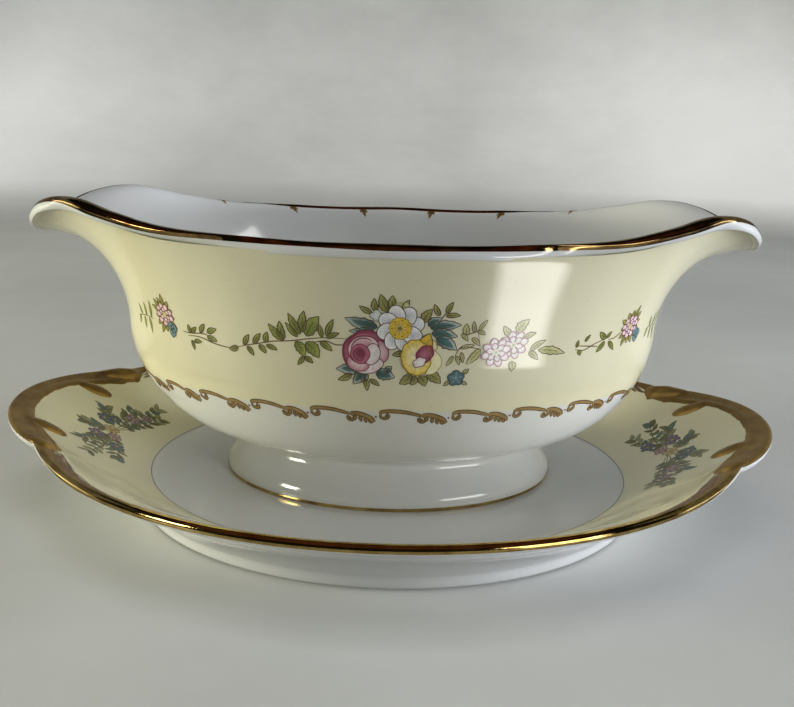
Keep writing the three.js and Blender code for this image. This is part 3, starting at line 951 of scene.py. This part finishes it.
def teal_leaves(p):
    """Two-toned leaves, dark along the middle with a pale edge."""
    for s0, h0, s1, h1, width in TEAL_LEAVES:
        base, tip, bend = np.array([s0, h0]), np.array([s1, h1]), 0.1 * width
        p.leaf(base, tip, width + 0.5, TEAL_PALE, TEAL_DARK, LINE, 0, bend)
        p.leaf(base, mix(base, tip, 0.82), width * 0.72, TEAL, TEAL_DARK, None, 2, bend)


def bouquet(p):
    """The whole flower band of one side. The base lifts a flower over the ones before it."""
    at = lambda s, h: np.array([s, h], float)
    for line in STEMS:
        p.stroke(line, 0.3, srgb(112, 84, 54), 1)
    leaves(p, OLIVE_LEAVES, OLIVE, OLIVE_DARK, bend=0.12)
    leaves(p, TWIN_LEAVES, OLIVE_PALE, GREEN, bend=0.12)
    leaves(p, SPRAY_LEAVES, OLIVE_PALE, OLIVE, weight=0.2)
    leaves(p, SPRIG_LEAVES, GREEN, GREEN_DARK, srgb(88, 68, 38), 0.26, fuller=1.08)
    teal_leaves(p)
    p.blob(at(-2.6, 63.9), 1.6, 1.4, PETAL, TEAL_PALE, 4, 0.25, 0, 3, LINE, 0.16)
    p.blob(at(-0.6, 62.4), 1.4, 1.5, PETAL_GREY, BLUE, 4, 0.2, 0, 3, LINE, 0.16)
    p.blob(at(3.4, 66.0), 1.7, 1.4, GREEN, OLIVE_PALE, layer=3)
    p.base = 6
    rose(p, at(-5.1, 55.0))
    p.base = 14
    daisy(p, at(3.1, 61.0), 5.5)
    p.base = 50
    yellow_flower(p, at(7.0, 54.6))
    p.base = 0
    blue_flower(p, at(16.8, 48.9))
    pink_rimmed(p, at(30.2, 56.9), 3.5, 1.05)
    p.base = 16
    pink_rimmed(p, at(26.1, 55.2), 3.6)
    p.base = 0
    for flower, places in (
        (small_pink, ((64.8, 58.9), (-58.9, 58.9))),
        (blue_bud, ((68.4, 56.4), (-57.0, 55.4))),
        (end_sprig, ((-67.9, 57.2), (77.5, 57.2))),
    ):
        for place in places:
            flower(p, at(*place))


SCROLL_TOP = 39.9
SCROLL_COUNT = 23
# Where each scroll of the front starts. The others share the rest of the way round.
SCROLL_STARTS = [-65.7, -52.5, -36.3, -19.9, -2.1, 16.6, 33.0, 49.5, 64.3]
# One scroll of this length, from its own start and the top line: its four lines and their widths.
SCROLL_LENGTH = 16.56
SCROLL_LINES = [
    ([(0.75, -0.9), (1.0, -0.35), (2.0, -0.08), (4.0, 0.0), (6.5, -0.25), (8.6, -0.75), (10.0, -1.1)], 1.15),
    ([(0.75, -0.9), (0.9, -1.75), (1.7, -2.15), (2.5, -1.8), (2.55, -1.15), (2.0, -0.85)], 0.9),
    ([(10.0, -1.1), (10.9, -1.5), (11.1, -2.3), (10.5, -2.95), (9.7, -2.7), (9.5, -2.1), (10.0, -1.7)], 0.9),
    ([(10.2, -0.95), (12.0, -0.95), (13.8, -1.5), (15.2, -2.3), (15.9, -3.3)], 1.4),
]
# Leaves of the tassel as x and y of the base, and x and y from there to the tip. Dots as x, y and radius.
TASSEL = [(11.4, -1.4, -0.1, -1.5), (12.5, -1.6, 0.2, -1.7), (13.6, -2.0, 0.4, -1.6), (14.6, -2.4, 0.7, -1.3)]
SCROLL_DOTS = [(2.0, -1.5, 0.34), (10.2, -2.2, 0.3), (16.3, -1.7, 0.28)]


def scroll_band():
    """A running border of barred scrolls, each ending in a leaf tassel."""
    p = Paint(on_bowl)
    others = SCROLL_COUNT - len(SCROLL_STARTS)
    gap = (SCROLL_STARTS[0] + ROUND - SCROLL_STARTS[-1]) / (others + 1)
    starts = SCROLL_STARTS + [SCROLL_STARTS[-1] + gap * k for k in range(1, others + 1)]
    for start, end in zip(starts, starts[1:] + [starts[0] + ROUND]):
        k = (end - start) / SCROLL_LENGTH
        at = lambda path: np.array([(start + x * k, SCROLL_TOP + y) for x, y in path])
        for path, width in SCROLL_LINES:
            p.stroke(at(path), width, BROWN_LINE, 1, taper=0.6)
            p.stroke(at(path), width - 0.5, BROWN_GOLD, 4, taper=0.6)
        for x, y, dx, dy in TASSEL:
            ends = at([(x, y), (x + dx, y + dy)])
            p.leaf(*ends, 0.9, BROWN_GOLD, srgb(140, 100, 44), BROWN_LINE, 2, vein=False, weight=0.2)
        for x, y, r in SCROLL_DOTS:
            p.blob(at([(x, y)])[0], r, r, BROWN_GOLD, BROWN_LINE, layer=6)
    p.done("scroll_band", "boat")


def flower_bands():
    for name, shift in (("front", 0.0), ("back", ROUND / 2)):
        p = Paint(on_bowl, shift)
        bouquet(p)
        p.done("flower_band_" + name, "boat")


# ---- Plate decoration ----
SPRAY_LINE = srgb(98, 94, 64)
SPRAY_GREENS = [
    (srgb(136, 136, 92), srgb(98, 98, 64)), (srgb(150, 150, 106), srgb(108, 110, 74)),
    (srgb(116, 136, 124), srgb(82, 104, 96)), (srgb(166, 164, 122), srgb(128, 128, 90)),
    (srgb(126, 120, 88), srgb(92, 88, 62)),
]
# The spray on the left: its core, the ends of its stems, and its flowers as x, y, size, pale and dark.
SPRAY_CORE = (-84.5, 1.0)
SPRAY_STEMS = [(-78, 22), (-84, 16), (-90, 10), (-92, -2), (-88, -12), (-84, -18), (-78, -14), (-76, 18)]
SPRAY_FLOWERS = [
    (-87.2, -4.8, 2.3, (138, 124, 142), (98, 84, 106)),
    (-80.6, -6.7, 2.2, (124, 128, 138), (82, 88, 100)), (-88.6, 5.4, 2.2, (108, 130, 130), (66, 88, 90)),
    (-86.1, 7.2, 1.8, (96, 120, 116), (62, 86, 84)), (-82.0, 12.0, 2.4, (176, 158, 164), (126, 104, 112)),
    (-85.0, 1.2, 2.3, (216, 200, 150), (172, 148, 88)),
    (-83.0, -1.8, 2.0, (200, 168, 168), (150, 110, 114)),
    (-79.2, 15.8, 1.7, (164, 146, 150), (112, 92, 98)),
]


def plate_sprays():
    """A spray at each end of the border: the left one, and the same turned by half a turn."""
    p = Paint(on_plate)
    rng = np.random.default_rng(7)
    core = np.array(SPRAY_CORE)
    for turned in (1, -1):
        for end in SPRAY_STEMS:
            away = np.array(end) - core
            bent = mix(core, np.array(end), 0.55) + [1.0, 0.6]
            p.stroke([core * turned, bent * turned, np.array(end) * turned], 0.3, srgb(104, 98, 64), 1)
            for share in (0.3, 0.42, 0.54, 0.66, 0.78, 0.9, 1.0):
                base = core + away * share
                for side in (-1, 1):
                    a = math.atan2(away[1], away[0]) + side * rng.uniform(0.5, 1.1)
                    tip = base + rng.uniform(2.2, 3.9) * heading(a)
                    fill, dark = SPRAY_GREENS[int(rng.integers(0, 5))]
                    width = rng.uniform(1.1, 1.9)
                    ends = (base * turned, tip * turned)
                    p.leaf(*ends, width, fill, dark, SPRAY_LINE, 2, vein=False, weight=0.13)
        for x, y, r, pale, dark in SPRAY_FLOWERS:
            middle = np.array([x, y]) * turned
            for k in range(5):
                a = TAU * k / 5 + x
                shape = (r * 0.5, r * 0.4, srgb(*pale), srgb(*dark), 0, 0, a)
                p.blob(middle + r * 0.5 * heading(a), *shape, 5, srgb(96, 82, 80), 0.1, 1.5)
            p.blob(middle, r * 0.24, r * 0.24, srgb(206, 180, 110), srgb(160, 128, 70), layer=9)
    p.done("plate_sprays", "stand")


def well_line():
    a = np.linspace(0, TAU, 361)
    r = oval_radius(WELL[0] + 0.2, WELL[1] + 0.2, a)
    rows = np.array([on_plate((r + d) * np.cos(a), (r + d) * np.sin(a), 0.05) for d in (-0.17, 0.17)])
    colour = np.broadcast_to(srgb(158, 150, 138), (rows[..., 0].size, 3))
    make_mesh("well_line", rows, quads(2, len(a))[:, ::-1], ENAMEL, "stand", {"Col": colour})


# The gold materials don't show this colour.
NO_COLOUR = (0.3, 0.2, 0.1)
STROKES_PER_NOTCH = 64


def brushed_gold():
    """Feathered strokes that carry the gilding on from each notch along the long sides."""
    p = Paint(lambda angle, width, lift: on_rim(angle, width, lift + 0.03))
    rng = np.random.default_rng(3)
    t = np.linspace(0, 1, 9)
    for end, away in ((0, -1), (0, 1), (np.pi, 1), (np.pi, -1)):
        for k in range(STROKES_PER_NOTCH):
            start = 20.5 + 19 * (k / STROKES_PER_NOTCH) ** 1.2 + rng.uniform(-0.5, 0.5)
            stop = start + rng.uniform(2.5, 6.5)
            reach = mix(6.4, 1.9, smooth(start, 19, 42)) * rng.uniform(0.55, 1.0)
            angle = end + away * np.radians(mix(start, stop, t))
            width = mix(reach, max(reach - rng.uniform(1.2, 2.2), 1.3), t) + 0.3 * np.sin(np.pi * t)
            half = rng.uniform(0.1, 0.24) * np.sin(np.pi * clamp(t * 0.85 + 0.1)) ** 0.6
            sides = [np.stack([angle, width + s * half], -1) for s in (-1, 1)]
            p.sheet(np.stack(sides, 1), NO_COLOUR, 1)
    p.done("brushed_gilding", "stand", BRUSHED_GOLD)


def leaf_gilding():
    """Matt gold over the moulded leaves at the four notches."""
    p = Paint(on_plate)
    u, v = np.linspace(-0.06, 0.985, 37), np.linspace(-1, 1, 17)
    for base, tip, width, _ in RELIEF:
        base, tip = np.array(base), np.array(tip)
        across = (leaf_half(u, width * 1.02)[:, None] * v)[..., None] * left_of(unit(tip - base))
        grid = (base + np.outer(u, tip - base))[:, None] + across
        for sx in (1, -1):
            for sy in (1, -1):
                whole = grid * [sx, sy]
                p.sheet(whole if sx * sy > 0 else whole[:, ::-1], NO_COLOUR, 12)
    p.done("leaf_gilding", "stand", MATT_GOLD)


LIP_DROPS = 20


def lip_drops():
    """Small gilt drops that hang from the gold line inside the lip, but not at its ends."""
    turns = np.linspace(0, TAU, 1441)
    arc = run_along(wall(turns, np.full(len(turns), 2.99)))

    def inside(s, drop, lift):
        turn = np.interp(s % arc[-1], arc, turns)
        flat = [levels_from_lip(t, d) for t, d in zip(turn.ravel(), drop.ravel())]
        return skin(turn, np.array(flat).reshape(turn.shape), np.full(turn.shape, -WALL_HALF - lift))

    p = Paint(inside)
    for k in range(LIP_DROPS):
        s = (k + 0.5) / LIP_DROPS * arc[-1]
        turn = float(np.interp(s, arc, turns))
        if abs(math.cos(turn)) > (0.64 if math.sin(turn) > 0 else 0.4):
            continue
        p.leaf((s, 0.2), (s, 2.4), 1.2, BROWN_GOLD, BROWN_LINE)
        for side in (-1, 1):
            p.leaf((s + side * 0.3, 0.4), (s + side * 1.4, 1.0), 0.7, BROWN_GOLD, BROWN_LINE, layer=1)
    p.done("lip_drops", "boat")


PIECES = (
    boat_body, boat_foot, plate_body, lip_gilding, foot_gilding, plate_gilding, scroll_band, flower_bands,
    plate_sprays, well_line, brushed_gold, leaf_gilding, lip_drops,
)
for build in PIECES:
    build()


# ---- Stage, in metres ----
FLOOR_RADIUS, COVE, WALL_HEIGHT = 1.5, 0.75, 1.5
BACKDROP_COLS = 193
FRONT_RADIUS, FRONT_Z = 0.76, -0.0043
# How strongly the wall glows with painted light, in the middle and out at the sides.
WALL_PAINTED_LIGHT = (0.13, 0.35)


def stage_object(name, points, faces, material):
    mesh = bpy.data.meshes.new(name)
    mesh.from_pydata([tuple(p) for p in points], [], [list(map(int, f)) for f in faces])
    mesh.polygons.foreach_set("use_smooth", [True] * len(mesh.polygons))
    mesh.materials.append(material)
    thing = bpy.data.objects.new(name, mesh)
    bpy.context.scene.collection.objects.link(thing)
    return thing


def painted_wall_light(sh):
    """Painted light on the wall, as a glow: none on the floor, strongest low on the wall, and stronger out to
    the sides.
    """
    x, _, z = sh.place()
    height = sh.math("MULTIPLY", sh.remap(z, 0.0, 0.03, 0.0, 1.0), sh.remap(z, 0.16, 0.36, 1.0, 0.35))
    side = sh.math("ABSOLUTE", sh.math("ADD", x, 0.12))
    return sh.math("MULTIPLY", height, sh.remap(side, 0.2, 0.5, *WALL_PAINTED_LIGHT))


def backdrop():
    """A pale floor that sweeps up into a wall, and a darker twin just beyond it.

    The camera sees only the pale one, and light bounces only off the twin. The twin covers the back
    half, and floor_in_front is its floor in front, near the object.
    """
    bend = FLOOR_RADIUS - COVE
    sweep = [(r, 0.0) for r in (0.001, 0.2, 0.5, bend)]
    for a in np.linspace(0, math.pi / 2, 24)[1:]:
        sweep.append((bend + COVE * math.sin(a), COVE * (1 - math.cos(a))))
    sweep.append((FLOOR_RADIUS, WALL_HEIGHT))
    for name, last, outward, tones in (("seen", 348, 0.0, (198, 214)), ("bounce", 192, 0.004, (172, 186))):
        sh = Shader(name + "_backdrop")
        cloud = sh.remap(sh.noise(5, 6, 0.6), 0.35, 0.65, 0.0, 1.0)
        colour = sh.blend(cloud, *(srgb(tone, tone + 1, tone - 2) for tone in tones))
        if name == "seen":
            # Painted shade: the seen wall's colour darkens out towards the side lamps, which cancels the
            # bright pools they throw on it.
            painted_shade_near_lamps = sh.remap(sh.math("ABSOLUTE", sh.place()["X"]), 0.58, 0.92, 1.0, 0.16)
            colour = sh.blend(1.0, colour, painted_shade_near_lamps, "MULTIPLY")
            # Painted light: the seen wall glows, brighter low down and out towards the sides.
            sh.set(Emission_Color=(1.0, 1.0, 0.98), Emission_Strength=painted_wall_light(sh))
        sh.set(Base_Color=colour, Roughness=0.42, Specular_IOR_Level=0.3)
        a = np.radians(np.linspace(-12, last, BACKDROP_COLS))
        rows = np.array([ring(r + outward, r + outward, a, z - 0.0003 - outward) for r, z in sweep])
        faces = quads(len(sweep), BACKDROP_COLS)
        thing = stage_object(name + "_backdrop", rows.reshape(-1, 3), faces, sh.material)
        thing.visible_camera = name == "seen"
        for ray in ("visible_diffuse", "visible_glossy", "visible_shadow"):
            setattr(thing, ray, name != "seen")
    rim = ring(FRONT_RADIUS, FRONT_RADIUS, np.radians(np.linspace(192, 348, 40)), FRONT_Z)
    floor = stage_object("floor_in_front", [*rim, (0, 0.1, FRONT_Z)], [range(len(rim) + 1)], sh.material)
    floor.visible_camera = False


def aim_at(thing, place, aim, axis):
    thing.location = place
    thing.rotation_euler = (Vector(aim) - Vector(place)).to_track_quat(axis, "Y").to_euler()


def area(name, place, aim, size, power, colour):
    light = bpy.data.lights.new(name, "AREA")
    light.shape = "RECTANGLE"
    light.size, light.size_y = size
    light.energy = power
    light.color = colour
    lamp = bpy.data.objects.new(name, light)
    aim_at(lamp, place, aim, "-Z")
    bpy.context.scene.collection.objects.link(lamp)
    lamp.visible_glossy = False


def card(name, place, aim, size, strength, colour, soft=0.0):
    """A bright sheet that only reflections see. Soft is the share of its half size over which it fades."""
    sh = Shader(name)
    sh.tree.nodes.remove(sh.bsdf)
    w, h = size[0] / 2, size[1] / 2
    if soft:
        apart = sh.place()
        fades = [
            sh.remap(sh.math("ABSOLUTE", apart[axis]), half * (1 - soft), half, 1.0, 0.0)
            for axis, half in (("X", w), ("Y", h))
        ]
        strength = sh.remap(sh.math("MULTIPLY", *fades), 0, 1, 0, strength)
    glow = sh.node("ShaderNodeEmission", Color=colour, Strength=strength)
    sh.tree.links.new(glow.outputs[0], sh.tree.nodes["Material Output"].inputs["Surface"])
    thing = stage_object(name, [(-w, -h, 0), (w, -h, 0), (w, h, 0), (-w, h, 0)], [range(4)], sh.material)
    aim_at(thing, place, aim, "Z")
    for ray in ("visible_camera", "visible_diffuse", "visible_shadow"):
        setattr(thing, ray, False)


backdrop()
BOAT_MIDDLE = (0, 0, 0.05)
area("left_low", (-1.05, 0.0, 0.08), BOAT_MIDDLE, (0.35, 0.07), 14.8, (1.0, 0.98, 0.78))
area("left_window", (-1.0, -0.05, 0.22), BOAT_MIDDLE, (0.35, 0.25), 2.6, (1.0, 0.98, 0.76))
area("right_low", (1.05, 0.0, 0.08), BOAT_MIDDLE, (0.35, 0.07), 13.4, (0.85, 0.89, 1.0))
area("right_window", (1.0, -0.05, 0.22), BOAT_MIDDLE, (0.35, 0.25), 2.2, (0.88, 0.92, 1.0))
area("right_front", (0.7, -0.7, 0.35), BOAT_MIDDLE, (0.3, 0.3), 2.9, (0.97, 0.99, 1.0))
area("overhead", (0.0, -0.1, 1.3), (0, 0, 0), (0.8, 0.8), 3.5, (0.98, 0.99, 1.0))
area("wall_wash", (0.0, 0.25, 1.35), (0, 1.3, 0.35), (1.4, 0.4), 1.6, (1.0, 0.98, 0.96))
card("lamp_card", (-0.82, -0.56, 0.40), (0, 0, 0.03), (0.19, 0.18), 24.0, (1.0, 0.97, 0.78))
card("window_card", (0.66, -0.75, 0.29), (0, 0, 0.03), (0.50, 0.26), 6.0, (1.0, 0.99, 0.95), 0.15)
card("bounce_card", (0.105, -0.135, 0.016), (0.03, -0.035, 0.062), (0.07, 0.021), 6.5, (1.0, 0.98, 0.92), 0.4)
card("ceiling_card", (0.0, -0.5, 1.4), BOAT_MIDDLE, (2.2, 1.6), 0.12, (0.62, 0.24, 0.16))

world = bpy.data.worlds.new("studio")
world.use_nodes = True
background = world.node_tree.nodes["Background"].inputs
background["Color"].default_value = (0.9, 0.92, 0.95, 1)
background["Strength"].default_value = 0.01
bpy.context.scene.world = world
bpy.context.scene.view_settings.view_transform = "Standard"


# ---- Camera ----
def make_camera():
    """The photograph's view, fitted to the outlines of the lip, the foot and the plate's rim."""
    yaw, pitch, roll = np.radians([-0.81, 15.92, 1.64])
    forward = Vector((math.sin(yaw) * math.cos(pitch), math.cos(yaw) * math.cos(pitch), -math.sin(pitch)))
    level = Vector((math.cos(yaw), -math.sin(yaw), 0))
    upright = level.cross(forward)
    right = level * math.cos(roll) + upright * math.sin(roll)
    up = upright * math.cos(roll) - level * math.sin(roll)
    data = bpy.data.cameras.new("camera")
    data.lens, data.sensor_width = 35.46, 36
    data.clip_start, data.clip_end = 0.01, 20
    camera = bpy.data.objects.new("camera", data)
    turn = Matrix((right, up, -forward)).transposed().to_4x4()
    turn.translation = Vector((4.97, -221.26, 105.4)) * MM
    camera.matrix_world = turn
    bpy.context.scene.collection.objects.link(camera)
    bpy.context.scene.camera = camera


make_camera()
